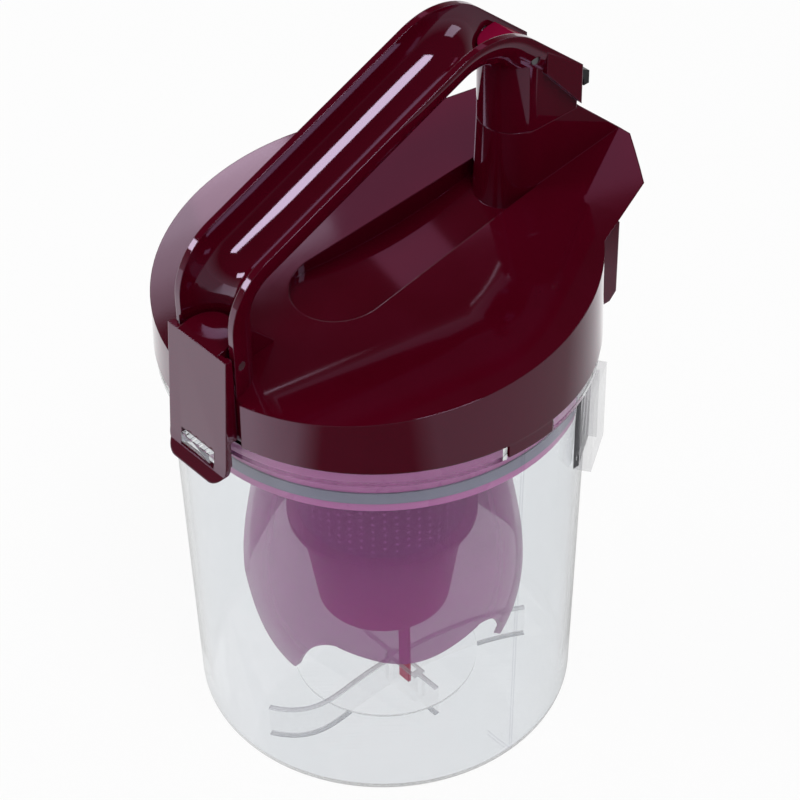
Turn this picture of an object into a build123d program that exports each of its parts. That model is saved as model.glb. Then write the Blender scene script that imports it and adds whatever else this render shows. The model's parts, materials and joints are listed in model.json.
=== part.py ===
"""Cyclone dust bin of a cylinder vacuum cleaner: clear bin, lid with handle, and separator.

The bin's axis is the Z axis and its base stands on Z = 0. The latch is at -Y and the air ports at +Y.
"""
import math
import os

from build123d import *

os.makedirs("parts", exist_ok=True)

# Clear bin
base_radius = 68.0
wall_radius = 71.3
bin_wall = 2.2
bin_floor = 3.0
base_round = 4.0
bin_height = 158.0
rim_lip = 3.1
rim_height = 5.5
pad_radius = 34.0
pad_height = 1.0
catch_half_width = 7.3
catch_height = 3.6
catch_reach = 1.1
catch_ribs = 4
rib_width = 1.2
rib_length = 2.4
rib_height = 0.6
guide_angle = 33.0
guide_width = 20.0
guide_depth = 5.0
guide_height = 32.0
guide_drop = 3.0
key_half_width = 10.2

# Fits
seat_gap = 0.3
running_gap = 0.05
slide_gap = 0.6

# Lid
skirt_overhang = 0.6
skirt_draft = 1.5
lid_wall = 2.4
lid_rise = 27.0
lid_slope = 0.13
lid_headroom = 60.0
trench_half_width = 17.0
trench_end_half_width = 13.2
trench_front = 32.5
trench_low = 16.0
trench_depth = 5.5
trench_end_depth = 5.0
nose_root_depth = 29.0
nose_reach = 24.0
nose_root_inset = 0.4
nose_corner_reach = 9.0
nose_corner_half_width = 40.5
nose_tip_half_width = 18.0
nose_undercut = 21.5
neck_radius = 21.3
neck_set_back = 2.0
neck_rise = 4.7
recess_margin = 3.1
hook_half_gap = 26.0
hook_width = 7.0
hook_arm = 5.6
hook_drop = 12.5
hook_root = 20.0
hook_chamfer = 3.0
pedestal_rise = 30.0
pedestal_flare = 1.2
pedestal_depth = 4.0
pedestal_ledge = 1.5
port_half_width = 14.0
port_height = 8.0
port_bar = 4.0
port_drop = 7.9
gasket_width = 1.5
gasket_height = 2.0
grille_slots = 6
grille_pitch = 4.4
grille_bar = 1.4
grille_depth = 1.6
grille_lap = 0.4

# Handle
rail_half_width = 14.5
rail_wall = 2.5
handle_inset = 4.0
front_corner_rise = 30.0
top_corner_reach = 42.25
top_corner_rise = 79.2
handle_back = 78.5
handle_back_rise = 48.1
front_bend = 24.0
top_bend = 30.0
panel_length = 16.5
panel_depth = 15.4
panel_root_depth = 8.4
leg_half_width = 12.3
leg_length = 17.5
leg_lap = 10.0
foot_half_width = 3.6
foot_length = 12.0
foot_rise = 16.0
foot_toe = 2.0

# Latch
latch_rise = 15.7
latch_set_back = 0.5
latch_wall = 2.0
latch_side_wall = 2.2
slot_stand_off = 2.9
slot_height = 7.0
slot_half_width = 8.4
lip_length = 7.0
lip_round = 6.0
lip_knee = 3.8
lip_step = 0.6
lip_flare = 2.7
hub_gap = 2.2
hub_drop = 5.0
shelf_slope = 0.25
latch_pin_inset = 3.0
latch_pin_rise = 11.2
pin_radius = 1.5
pin_end_gap = 0.5

# Release button
button_front_set = 35.5
button_crest_set = 16.5
button_back_set = 3.0
button_front_rise = 13.3
button_crest_rise = 11.9
button_back_rise = 0.9
button_thickness = 5.5
button_gap = 1.4
button_pin_set = 20.5
button_pin_depth = 2.0
button_pin_half_length = 13.0
hook_arm_half_width = 3.0
hook_arm_lead = 2.0
hook_arm_depth = 4.4
hook_tip_reach = 15.0
hook_tip_drop = 14.6
hook_bill = 5.0
hook_bill_width = 2.5
hook_swing = 3.4

# Springs
spring_radius = 1.9
spring_wire = 0.6
spring_turns = 3
spring_seat_radius = 2.8
spring_seat = 5.0
latch_spring_set = 7.0
latch_spring_length = 4.0
button_spring_side = 6.0
button_spring_set = 11.5
button_spring_length = 6.0
button_spring_pocket = 1.6

# Separator
mount_drop = 21.0
mount_gap = 0.76
mount_wall = 4.5
mount_plate = 2.5
mount_flange = 2.5
flange_gap = 0.4
outlet_radius = 20.0
inlet_reach = 48.0
inlet_width = 30.0
inlet_depth = 16.0
tube_wall = 1.8
tube_flange = 4.0
tube_rise = 26.5
tube_entry = 16.0
seal_rise = 3.4
seal_height = 4.4
seal_depth = 2.2
bell_collar_radius = 38.0
bell_waist_radius = 42.0
bell_shoulder_radius = 46.0
bell_radius = 50.0
bell_hem_radius = 44.0
bell_wall = 2.0
lobe_clearance = 23.0
short_lobe_rise = 20.5
lobe_notch_rise = 28.0
bell_widest_rise = 36.0
bell_shoulder_rise = 62.0
bell_waist_rise = 89.0
lobe_count = 6
lobe_lap = 0.6
long_lobe_fullness = 0.4
short_lobe_fullness = 0.62
screen_radius = 30.0
screen_wall = 1.2
screen_rise = 53.0
screen_base_height = 2.5
cone_flange_radius = 34.0
cone_tip_radius = 24.0
cone_rise = 11.0
cone_wall = 1.8
fin_depth = 5.0
fin_wall = 1.2
fin_clearance = 6.0

# Base vanes
vane_height = 14.0
vane_wall = 1.8
vane_start = 4.0
vane_side = 15.0
vane_swing = 14.0
vane_end_gap = 8.0
cross_reach = 37.0
cross_place = -8.0
cross_lap = 2.0
sleeve_side = 20.0
sleeve_length = 16.0
sleeve_width = 5.0

# Screws, bosses and feet
screw_radius = 1.6
screw_head_radius = 3.2
screw_head = 2.0
screw_length = 12.0
screw_end_gap = 1.0
screw_clearance = 0.2
tower_reach = 49.0
tower_spread = 18.0
tower_radius = 4.0
boss_radius = 4.5
boss_depth = 6.0
front_screw_inset = 18.0
rear_screw_insets = (8.5, 19.5)

# Heights and radii that follow
rim_radius = wall_radius + rim_lip
rim_bottom = bin_height - rim_height
inner_wall_radius = wall_radius - bin_wall
wall_taper = (wall_radius - base_radius) / (rim_bottom - base_round)
skirt_radius = rim_radius + skirt_overhang
skirt_top_radius = skirt_radius - skirt_draft
skirt_bottom = bin_height + seat_gap
lid_middle = bin_height + lid_rise
lid_crown = lid_middle + lid_headroom
nose_root = skirt_radius - nose_root_depth
nose_tip = skirt_radius + nose_reach
nose_corner = skirt_radius + nose_corner_reach
nose_root_half_width = math.sqrt(skirt_top_radius**2 - nose_root**2) - nose_root_inset
pedestal_top = lid_middle + pedestal_rise
leg_bow = handle_back - leg_length
trough_radius = rail_half_width - rail_wall
handle_front = skirt_radius - handle_inset
front_corner_height = lid_middle + front_corner_rise
top_corner_height = lid_middle + top_corner_rise
handle_back_height = lid_middle + handle_back_rise
recess_half_width = rail_half_width + recess_margin
recess_reach = handle_front + seat_gap
slot_reach = rim_radius + slot_stand_off
slot_top = rim_bottom + seat_gap
slot_middle = slot_top - slot_height / 2
catch_top = slot_top - 2 * slide_gap
catch_bottom = catch_top - catch_height
latch_top_reach = skirt_radius - latch_set_back
hub_radius = trough_radius - hub_gap
latch_pin_reach = handle_front - latch_pin_inset
latch_spring_reach = handle_front - latch_spring_set
button_front = handle_back - button_front_set
button_crest = handle_back - button_crest_set
button_back = handle_back - button_back_set
button_crest_height = handle_back_height + button_crest_rise
button_back_height = handle_back_height + button_back_rise
button_pin_reach = handle_back - button_pin_set
button_pin_height = button_crest_height - button_pin_depth
button_spring_reach = handle_back - button_spring_set
hook_arm_front = button_crest + hook_arm_lead
hook_tip = handle_back + hook_tip_reach
hook_tip_height = handle_back_height - hook_tip_drop
mount_bottom = bin_height - mount_drop
mount_top = skirt_bottom + mount_flange
plate_top = mount_bottom + mount_plate
seal_bottom = mount_bottom + seal_rise
flange_radius = skirt_radius - lid_wall - flange_gap
long_lobe_bottom = bin_floor + lobe_clearance
short_lobe_bottom = long_lobe_bottom + short_lobe_rise
lobe_notch = long_lobe_bottom + lobe_notch_rise
lobe_half_width = bell_radius * math.sin(math.pi / lobe_count) + lobe_lap
screen_bottom = long_lobe_bottom + screen_rise
cone_top = screen_bottom - screen_base_height
cone_bottom = long_lobe_bottom + cone_rise


def lid_height(y):
    """Height of the lid's sloped top at a distance y behind the bin's axis."""
    return lid_middle + lid_slope * y


def bin_inside(z):
    """Inner radius of the bin at height z."""
    return inner_wall_radius - wall_taper * (rim_bottom - z)


front_lid_height = lid_height(-handle_front)
latch_top = front_lid_height + latch_rise
latch_pin_height = front_lid_height + latch_pin_rise
hub_bottom = latch_pin_height - hub_drop
nose_tip_height = lid_height(nose_tip)
trench_end_height = lid_height(leg_bow) - trench_end_depth
port_middle = nose_tip_height - port_drop
mount_radius = bin_inside(mount_bottom) - mount_gap
mount_inner_radius = mount_radius - mount_wall
rear_screw_places = [handle_back - inset for inset in rear_screw_insets]
front_screw_place = -handle_front + front_screw_inset


def foot_height(y):
    """Height of the lid's outside where a foot of the handle stands."""
    return lid_height(y) if y < 0 else pedestal_top


def button_underside(y):
    """Height of the button's underside behind its crest."""
    fall = (button_crest_height - button_back_height) / (button_back - button_crest)
    return button_crest_height - button_thickness - fall * (y - button_crest)


button_spring_top = button_underside(button_spring_reach) + button_spring_pocket
button_spring_bottom = button_spring_top - button_spring_length


def cross_pin(y, z, radius, half_length=skirt_radius):
    """Round bar along X, for a pivot pin or its bore."""
    with BuildPart() as bar:
        with BuildSketch(Plane.YZ):
            with Locations((y, z)):
                Circle(radius)
        extrude(amount=half_length, both=True)
    return bar.part


def coil(x, y, bottom, top):
    """Flat-wire coil spring standing between two heights."""
    rise = top - bottom - spring_wire
    with BuildLine(Plane((x, y, bottom + spring_wire / 2))) as wire:
        Helix(rise / spring_turns, rise, spring_radius)
    path = wire.wire()
    with BuildPart() as spring:
        with BuildSketch(Plane(origin=path @ 0, x_dir=(1, 0, 0), z_dir=path % 0)):
            Rectangle(spring_wire, spring_wire)
        sweep(path=path)
    return spring.part


def screw(x, y, seat):
    """Screw standing upward with its head under the seat."""
    with BuildPart() as fastener:
        with BuildSketch(Plane.XY.offset(seat)):
            with Locations((x, y)):
                Circle(screw_head_radius)
        extrude(amount=-screw_head)
        with BuildSketch(Plane.XY.offset(seat)):
            with Locations((x, y)):
                Circle(screw_radius)
        extrude(amount=screw_length - screw_end_gap)
    return fastener.part


def bell_profile(inset):
    """Points down the bell's side, moved inward by inset."""
    return (
        (bell_collar_radius - inset, mount_bottom - inset),
        (bell_waist_radius - inset, long_lobe_bottom + bell_waist_rise),
        (bell_shoulder_radius - inset, long_lobe_bottom + bell_shoulder_rise),
        (bell_radius - inset, long_lobe_bottom + bell_widest_rise),
        (bell_hem_radius - inset, long_lobe_bottom),
    )


def leg_plan(half_width, back, height):
    """Plan of the rear leg at a height: straight sides and a round front."""
    with BuildSketch(Plane.XY.offset(height)) as plan:
        with Locations((0, leg_bow)):
            Circle(half_width)
            Rectangle(2 * half_width, back - leg_bow, align=(Align.CENTER, Align.MIN))
    return plan.sketch


def trench_form(inset):
    """Finger hollow under the handle, grown by inset on the underside."""
    half_width = trench_half_width + inset
    end_half_width = trench_end_half_width + inset
    front = -trench_front - inset
    bend = front + half_width
    end = leg_bow + inset
    with BuildPart() as form:
        with BuildSketch(Plane.YZ):
            with BuildLine():
                floor = ThreePointArc(
                    (front, lid_height(front) - inset),
                    (trench_low, lid_middle - trench_depth - inset),
                    (end, trench_end_height - inset),
                )
                Polyline(floor @ 1, (end, lid_crown), (front, lid_crown), floor @ 0)
            make_face()
        extrude(amount=half_width, both=True)
        with BuildSketch(Plane.XY):
            with Locations((0, bend)):
                Circle(half_width)
            Polygon(
                (-half_width, bend),
                (half_width, bend),
                (end_half_width, end),
                (-end_half_width, end),
                align=None,
            )
        extrude(amount=lid_crown, mode=Mode.INTERSECT)
    return form.part


def pedestal_form(inset):
    """Pedestal on the nose that carries the handle's rear leg; its back slopes to the nose's tip."""
    half_width = leg_half_width - inset
    back = nose_tip - inset
    ledge = handle_back + pedestal_ledge - inset
    foot = leg_plan(half_width + pedestal_flare, back, lid_middle - pedestal_depth)
    top = leg_plan(half_width, back, pedestal_top - inset)
    with BuildPart() as form:
        loft(sections=[foot, top])
        with BuildSketch(Plane.YZ):
            Polygon(
                (ledge, pedestal_top - inset),
                (back, nose_tip_height - inset),
                (nose_tip, nose_tip_height - inset),
                (nose_tip, lid_crown),
                (ledge, lid_crown),
                align=None,
            )
        extrude(amount=rail_half_width, both=True, mode=Mode.SUBTRACT)
    return form.part


def nose_plan(undercut, height, inset):
    """Plan of the nose behind the round lid at one height, with its corners cut off."""
    root = nose_root_half_width - undercut
    corner = nose_corner_half_width - undercut
    with BuildSketch(Plane.XY.offset(height)) as plan:
        Polygon(
            (-root, nose_root),
            (root, nose_root),
            (corner, nose_corner),
            (nose_tip_half_width, nose_tip),
            (-nose_tip_half_width, nose_tip),
            (-corner, nose_corner),
            align=None,
        )
        if inset:
            offset(amount=-inset, kind=Kind.INTERSECTION)
    return plan.sketch


def lid_form(inset):
    """Outer form of the lid, or its hollow when inset is the wall."""
    nose_foot = nose_plan(nose_undercut, skirt_bottom + inset, inset)
    nose_top = nose_plan(0, nose_tip_height, inset)
    trench = trench_form(inset)
    pedestal = pedestal_form(inset)
    bottom = skirt_bottom - inset
    with BuildPart() as form:
        with BuildSketch(Plane.XZ):
            Polygon(
                (0, bottom),
                (skirt_radius - inset, bottom),
                (skirt_top_radius - inset, lid_crown),
                (0, lid_crown),
                align=None,
            )
        revolve(axis=Axis.Z)
        loft(sections=[nose_foot, nose_top], ruled=True)
        top_plane = Plane(origin=(0, 0, lid_middle - inset), x_dir=(1, 0, 0), z_dir=(0, -lid_slope, 1))
        split(bisect_by=top_plane, keep=Keep.BOTTOM)
        add(trench, mode=Mode.SUBTRACT)
        add(pedestal)
        with BuildSketch(Plane.YZ):
            with Locations((nose_tip + neck_set_back, skirt_bottom + neck_rise)):
                Circle(neck_radius + inset)
        extrude(amount=skirt_radius, both=True, mode=Mode.SUBTRACT)
        # recess at the front that the latch lies in
        with BuildSketch(Plane.XY):
            with Locations((0, inset - recess_reach)):
                Rectangle(
                    2 * (recess_half_width + inset),
                    skirt_radius,
                    align=(Align.CENTER, Align.MAX),
                )
        extrude(amount=lid_crown, mode=Mode.SUBTRACT)
    return form.part


lid_outer = lid_form(0)
lid_hollow = lid_form(lid_wall)

with BuildPart() as bin_cup:
    with BuildSketch(Plane.XZ):
        Polygon(
            (0, 0),
            (base_radius - wall_taper * base_round, 0),
            (wall_radius, rim_bottom),
            (rim_radius, rim_bottom),
            (rim_radius, bin_height),
            (inner_wall_radius, bin_height),
            (inner_wall_radius, rim_bottom),
            (bin_inside(bin_floor), bin_floor),
            (0, bin_floor),
            align=None,
        )
    revolve(axis=Axis.Z)
    fillet(bin_cup.edges().group_by(Axis.Z)[0], base_round)
    with Locations((0, 0, bin_floor)):
        Cylinder(pad_radius, pad_height, align=(Align.CENTER, Align.CENTER, Align.MIN))
    # key notches in the rim, one on each side
    with BuildSketch(Plane.XY.offset(rim_bottom)):
        Rectangle(4 * rim_radius, 2 * key_half_width)
        Circle(wall_radius, mode=Mode.SUBTRACT)
    extrude(amount=2 * rim_height, mode=Mode.SUBTRACT)
    # catch tab that the latch's slot takes
    with Locations((0, -slot_reach - catch_reach, catch_bottom)):
        Box(
            2 * catch_half_width,
            slot_reach + catch_reach - inner_wall_radius - bin_wall / 2,
            catch_height,
            align=(Align.CENTER, Align.MIN, Align.MIN),
        )
    with Locations((0, -slot_reach - catch_reach, catch_top)):
        with GridLocations(catch_half_width / 2, 0, catch_ribs, 1):
            Box(rib_width, rib_length, rib_height, align=(Align.CENTER, Align.MIN, Align.MIN))
    # guide ribs, open boxes on the outside wall
    for angle in (guide_angle, 180 - guide_angle):
        with Locations(Plane.XY.offset(rim_bottom - guide_drop).rotated((0, 0, angle))):
            with Locations((inner_wall_radius + bin_wall / 2, 0, 0)):
                Box(
                    guide_depth + bin_wall / 2,
                    guide_width,
                    guide_height,
                    align=(Align.MIN, Align.CENTER, Align.MAX),
                )
            with Locations((wall_radius + seat_gap, 0, -bin_wall)):
                Box(
                    guide_depth - bin_wall,
                    guide_width - 2 * bin_wall,
                    guide_height,
                    align=(Align.MIN, Align.CENTER, Align.MAX),
                    mode=Mode.SUBTRACT,
                )
bin_cup.part.label = "bin"
export_step(bin_cup.part, "parts/bin.step")

# Vanes on the bin's floor: one wavy wall, a cross wall and a sleeve for the separator's fin
with BuildPart() as vanes:
    vane_end = bin_inside(bin_floor) - vane_end_gap
    with BuildSketch(Plane.XY.offset(bin_floor)):
        with BuildLine():
            Spline(
                (vane_start, -vane_end),
                (vane_side, -vane_end + vane_swing),
                (vane_side, -vane_end / 2),
                (vane_side + vane_start, vane_end / 3),
                (vane_side + vane_swing, vane_end - vane_swing),
            )
        trace(line_width=vane_wall)
        with Locations((-cross_lap, cross_place)):
            Rectangle(cross_reach + cross_lap, vane_wall, align=(Align.MIN, Align.CENTER))
        with Locations((sleeve_side, cross_place)):
            Rectangle(sleeve_length, sleeve_width)
            Rectangle(sleeve_length - sleeve_width, fin_wall + 2 * slide_gap, mode=Mode.SUBTRACT)
    extrude(amount=vane_height)
    with Locations((0, 0, bin_floor)):
        Cylinder(
            pad_radius + seat_gap,
            pad_height,
            align=(Align.CENTER, Align.CENTER, Align.MIN),
            mode=Mode.SUBTRACT,
        )
vanes.part.label = "base_vanes"
export_step(vanes.part, "parts/base_vanes.step")

# Hooks at the back of the lid that reach under the bin's rim
with BuildPart() as rear_hooks:
    hook_reach = rim_radius + hook_arm
    hook_bottom = skirt_bottom - hook_drop
    hook_top = skirt_bottom + hook_root
    for side in (1, -1):
        with BuildSketch(Plane.YZ.offset(side * hook_half_gap)):
            Polygon(
                (base_radius, rim_bottom - seat_gap),
                (wall_radius, hook_top),
                (hook_reach, hook_top),
                (hook_reach, hook_bottom + hook_chamfer),
                (hook_reach - hook_chamfer, hook_bottom),
                (wall_radius + hook_chamfer, hook_bottom),
                (base_radius, hook_bottom + hook_chamfer),
                align=None,
            )
        extrude(amount=side * hook_width)
    with Locations((0, 0, rim_bottom - seat_gap)):
        Cylinder(
            wall_radius + slide_gap,
            bin_height,
            mode=Mode.SUBTRACT,
        )
        Cylinder(
            rim_radius + slide_gap,
            skirt_bottom - rim_bottom + seat_gap,
            align=(Align.CENTER, Align.CENTER, Align.MIN),
            mode=Mode.SUBTRACT,
        )

# Boss under the handle's front foot
with BuildPart() as front_boss:
    with Locations((0, front_screw_place, lid_height(front_screw_place) - boss_depth)):
        Cylinder(boss_radius, 2 * boss_depth, align=(Align.CENTER, Align.CENTER, Align.MIN))
    add(lid_outer, mode=Mode.INTERSECT)

# Bosses inside the pedestal for the handle's rear screws
with BuildPart() as rear_bosses:
    for y in rear_screw_places:
        with Locations((0, y, pedestal_top - boss_depth)):
            Cylinder(boss_radius, 2 * boss_depth, align=(Align.CENTER, Align.CENTER, Align.MIN))
    add(pedestal_form(0), mode=Mode.INTERSECT)

# Lid: shell, hooks, key lugs, screw towers and ports
with BuildPart() as lid:
    add(lid_outer)
    add(rear_hooks.part)
    add(lid_hollow, mode=Mode.SUBTRACT)
    with BuildSketch(Plane.XY.offset(rim_bottom + slide_gap)):
        Circle(skirt_radius - seat_gap)
        Circle(wall_radius + slide_gap, mode=Mode.SUBTRACT)
        Rectangle(4 * skirt_radius, 2 * (key_half_width - slide_gap), mode=Mode.INTERSECT)
    extrude(amount=rim_height)
    add(front_boss.part)
    add(rear_bosses.part)
    # towers that take the mount's screws
    for y in (-tower_spread, tower_spread):
        with BuildSketch(Plane.XY.offset(plate_top)):
            with Locations((-tower_reach, y), (tower_reach, y)):
                Circle(tower_radius)
        extrude(amount=lid_height(y) - plate_top - lid_wall / 2)
        with BuildSketch(Plane.XY.offset(plate_top)):
            with Locations((-tower_reach, y), (tower_reach, y)):
                Circle(screw_radius + running_gap)
        extrude(amount=screw_length, mode=Mode.SUBTRACT)
    for y in (front_screw_place, *rear_screw_places):
        with Locations((0, y, foot_height(y))):
            Cylinder(screw_radius + running_gap, 4 * boss_depth, mode=Mode.SUBTRACT)
    # seat of the latch's spring
    with Locations((0, -latch_spring_reach, hub_bottom - latch_spring_length)):
        Cylinder(spring_seat_radius, lid_wall, align=(Align.CENTER, Align.CENTER, Align.MAX))
    # the two air ports in the nose's end wall
    with BuildSketch(Plane.XZ.offset(lid_wall - nose_tip)):
        for side in (1, -1):
            with Locations((side * (port_half_width + port_bar / 2) / 2, port_middle)):
                Rectangle(port_half_width - port_bar / 2, port_height)
    extrude(amount=lid_wall, both=True, mode=Mode.SUBTRACT)
lid.part.label = "lid"
export_step(lid.part, "parts/lid.step")

# Handle: a trough swept along the rails, with side panels, a rear leg and a front foot
with BuildLine(Plane.YZ) as rail_line:
    FilletPolyline(
        (-handle_front, front_lid_height - lid_wall),
        (-handle_front, front_corner_height),
        (top_corner_reach, top_corner_height),
        (handle_back, handle_back_height),
        radius=(front_bend, top_bend),
    )
rail_path = rail_line.wire()
rail_start = Plane(origin=rail_path @ 0, x_dir=(1, 0, 0), z_dir=rail_path % 0)

with BuildPart() as hook_room:
    with BuildSketch(Plane.YZ.offset(-hook_arm_half_width - slide_gap)):
        Polygon(
            (hook_arm_front - hook_swing, button_underside(hook_arm_front)),
            (hook_tip, hook_tip_height),
            (hook_tip, hook_tip_height - hook_bill - hook_swing),
            (button_back, button_underside(button_back) - hook_arm_depth - hook_swing),
            (hook_arm_front - hook_swing, button_underside(hook_arm_front) - hook_arm_depth - hook_swing),
            align=None,
        )
    extrude(amount=2 * (hook_arm_half_width + slide_gap))

# Rear leg, under the back of the trough
with BuildPart() as rear_leg:
    leg_slope = (top_corner_height - handle_back_height) / (handle_back - top_corner_reach)
    leg_front = leg_bow - leg_half_width
    leg_top = handle_back_height - leg_lap
    add(leg_plan(leg_half_width, handle_back, pedestal_top - lid_wall))
    extrude(amount=top_corner_height - pedestal_top)
    with BuildSketch(Plane.YZ):
        Polygon(
            (leg_front, pedestal_top - lid_wall),
            (handle_back, pedestal_top - lid_wall),
            (handle_back, leg_top),
            (leg_front, leg_top + leg_slope * (handle_back - leg_front)),
            align=None,
        )
    extrude(amount=rail_half_width, both=True, mode=Mode.INTERSECT)

with BuildPart() as handle:
    with BuildSketch(rail_start):
        Circle(rail_half_width)
        Rectangle(
            2 * rail_half_width,
            rail_half_width,
            align=(Align.CENTER, Align.MIN),
            mode=Mode.INTERSECT,
        )
    sweep(path=rail_path)
    add(rear_leg.part)
    # front foot
    with BuildSketch(Plane.YZ.offset(-foot_half_width)):
        Polygon(
            (-handle_front + trough_radius, skirt_bottom + lid_wall),
            (-handle_front + trough_radius + foot_length, skirt_bottom + lid_wall),
            (-handle_front + trough_radius + foot_length, front_lid_height + 2 * foot_toe),
            (-handle_front + trough_radius, front_lid_height + foot_rise),
            align=None,
        )
    extrude(amount=2 * foot_half_width)
    for side in (1, -1):
        with BuildSketch(Plane.YZ.offset(side * trough_radius)):
            Polygon(
                (handle_back - panel_length, button_crest_height),
                (handle_back, handle_back_height),
                (handle_back, handle_back_height - panel_depth),
                (handle_back - panel_length, button_crest_height - panel_root_depth),
                align=None,
            )
        extrude(amount=side * rail_wall)
    with BuildSketch(rail_start):
        Circle(trough_radius)
    sweep(path=rail_path, mode=Mode.SUBTRACT)
    add(lid_outer, mode=Mode.SUBTRACT)
    add(hook_room.part, mode=Mode.SUBTRACT)
    # seat of the button's spring
    with Locations((button_spring_side, button_spring_reach, button_spring_bottom)):
        Cylinder(spring_seat_radius, spring_seat, align=(Align.CENTER, Align.CENTER, Align.MAX))
    for y in (front_screw_place, *rear_screw_places):
        with Locations((0, y, foot_height(y))):
            Cylinder(
                screw_radius + running_gap,
                2 * (screw_length - boss_depth),
                mode=Mode.SUBTRACT,
            )
    for y, z in ((-latch_pin_reach, latch_pin_height), (button_pin_reach, button_pin_height)):
        add(cross_pin(y, z, pin_radius + running_gap), mode=Mode.SUBTRACT)
handle.part.label = "handle"
export_step(handle.part, "parts/handle.step")

# Latch: flap with a slot, side walls and a hub that turns on the pin
with BuildPart() as latch:
    lip_reach = slot_reach + lip_step + lip_flare
    with BuildSketch(Plane.YZ.offset(-rail_half_width)):
        Polygon(
            (-latch_top_reach, latch_top),
            (-slot_reach, slot_middle),
            (-slot_reach - lip_step, slot_middle - lip_knee),
            (-lip_reach, slot_middle - lip_length),
            (-lip_reach + latch_wall, slot_middle - lip_length),
            (-slot_reach - lip_step + latch_wall, slot_middle - lip_knee),
            (-slot_reach + latch_wall, slot_middle),
            (-latch_top_reach + latch_wall, latch_top),
            align=None,
        )
    extrude(amount=2 * rail_half_width)
    # the lip's lower corners are round
    with BuildSketch(Plane.XZ.offset(handle_front)):
        with Locations((0, slot_middle - lip_length)):
            RectangleRounded(
                2 * rail_half_width,
                2 * lid_headroom,
                lip_round,
                align=(Align.CENTER, Align.MIN),
            )
    extrude(amount=handle_front, mode=Mode.INTERSECT)
    for side in (1, -1):
        with BuildSketch(Plane.YZ.offset(side * rail_half_width)):
            Polygon(
                (-latch_top_reach, latch_top),
                (-slot_reach, slot_middle),
                (-rim_radius - seat_gap, slot_middle),
                (-rim_radius - seat_gap, skirt_bottom + slide_gap),
                (-recess_reach - slide_gap, skirt_bottom + slide_gap),
                (-recess_reach - slide_gap, latch_top),
                align=None,
            )
        extrude(amount=-side * latch_side_wall)
    with BuildSketch(Plane.XY.offset(hub_bottom)):
        with Locations((0, -handle_front)):
            Circle(hub_radius)
            Rectangle(2 * hub_radius, hub_radius, align=(Align.CENTER, Align.MIN), mode=Mode.INTERSECT)
            Rectangle(2 * hub_radius, latch_top_reach - handle_front, align=(Align.CENTER, Align.MAX))
    extrude(amount=lid_crown - hub_bottom)
    shelf = Plane(origin=(0, -latch_top_reach, latch_top), x_dir=(1, 0, 0), z_dir=(0, -shelf_slope, 1))
    split(bisect_by=shelf, keep=Keep.BOTTOM)
    with BuildSketch(Plane.XZ.offset(handle_front)):
        with Locations((0, slot_middle)):
            Rectangle(2 * slot_half_width, slot_height)
    extrude(amount=handle_front, mode=Mode.SUBTRACT)
    add(cross_pin(-latch_pin_reach, latch_pin_height, pin_radius + running_gap), mode=Mode.SUBTRACT)
latch.part.label = "latch"
export_step(latch.part, "parts/latch.step")

with BuildPart() as latch_pin:
    add(cross_pin(-latch_pin_reach, latch_pin_height, pin_radius, rail_half_width - pin_end_gap))
latch_pin.part.label = "latch_pin"
export_step(latch_pin.part, "parts/latch_pin.step")

with BuildPart() as latch_spring:
    add(coil(0, -latch_spring_reach, hub_bottom - latch_spring_length, hub_bottom))
latch_spring.part.label = "latch_spring"
export_step(latch_spring.part, "parts/latch_spring.step")

# Release button, rocking in the back of the trough
with BuildPart() as button:
    button_front_height = handle_back_height + button_front_rise
    with BuildSketch(Plane.YZ.offset(-trough_radius)):
        Polygon(
            (button_front, button_front_height),
            (button_crest, button_crest_height),
            (button_back, button_back_height),
            (button_back, button_back_height - button_thickness),
            (button_crest, button_crest_height - button_thickness),
            (button_front, button_front_height - button_thickness),
            align=None,
        )
    extrude(amount=2 * trough_radius)
    with BuildSketch(rail_start):
        Circle(trough_radius - button_gap)
    sweep(path=rail_path, mode=Mode.INTERSECT)
    with Locations((button_spring_side, button_spring_reach, button_spring_top)):
        Cylinder(
            spring_seat_radius,
            2 * button_thickness,
            align=(Align.CENTER, Align.CENTER, Align.MAX),
            mode=Mode.SUBTRACT,
        )
    add(cross_pin(button_pin_reach, button_pin_height, pin_radius + running_gap), mode=Mode.SUBTRACT)
button.part.label = "release_button"
export_step(button.part, "parts/release_button.step")

with BuildPart() as catch_hook:
    with BuildSketch(Plane.YZ.offset(-hook_arm_half_width)):
        Polygon(
            (hook_arm_front, button_underside(hook_arm_front)),
            (button_back, button_underside(button_back)),
            (hook_tip, hook_tip_height),
            (hook_tip, hook_tip_height - hook_bill),
            (hook_tip - hook_bill_width, hook_tip_height - hook_bill),
            (hook_tip - hook_bill_width, hook_tip_height - hook_bill_width),
            (button_back, button_underside(button_back) - hook_arm_depth),
            (hook_arm_front, button_underside(hook_arm_front) - hook_arm_depth),
            align=None,
        )
    extrude(amount=2 * hook_arm_half_width)
catch_hook.part.label = "catch_hook"
export_step(catch_hook.part, "parts/catch_hook.step")

with BuildPart() as button_pin:
    add(cross_pin(button_pin_reach, button_pin_height, pin_radius, button_pin_half_length))
button_pin.part.label = "button_pin"
export_step(button_pin.part, "parts/button_pin.step")

with BuildPart() as button_spring:
    add(coil(button_spring_side, button_spring_reach, button_spring_bottom, button_spring_top))
button_spring.part.label = "button_spring"
export_step(button_spring.part, "parts/button_spring.step")

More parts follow.
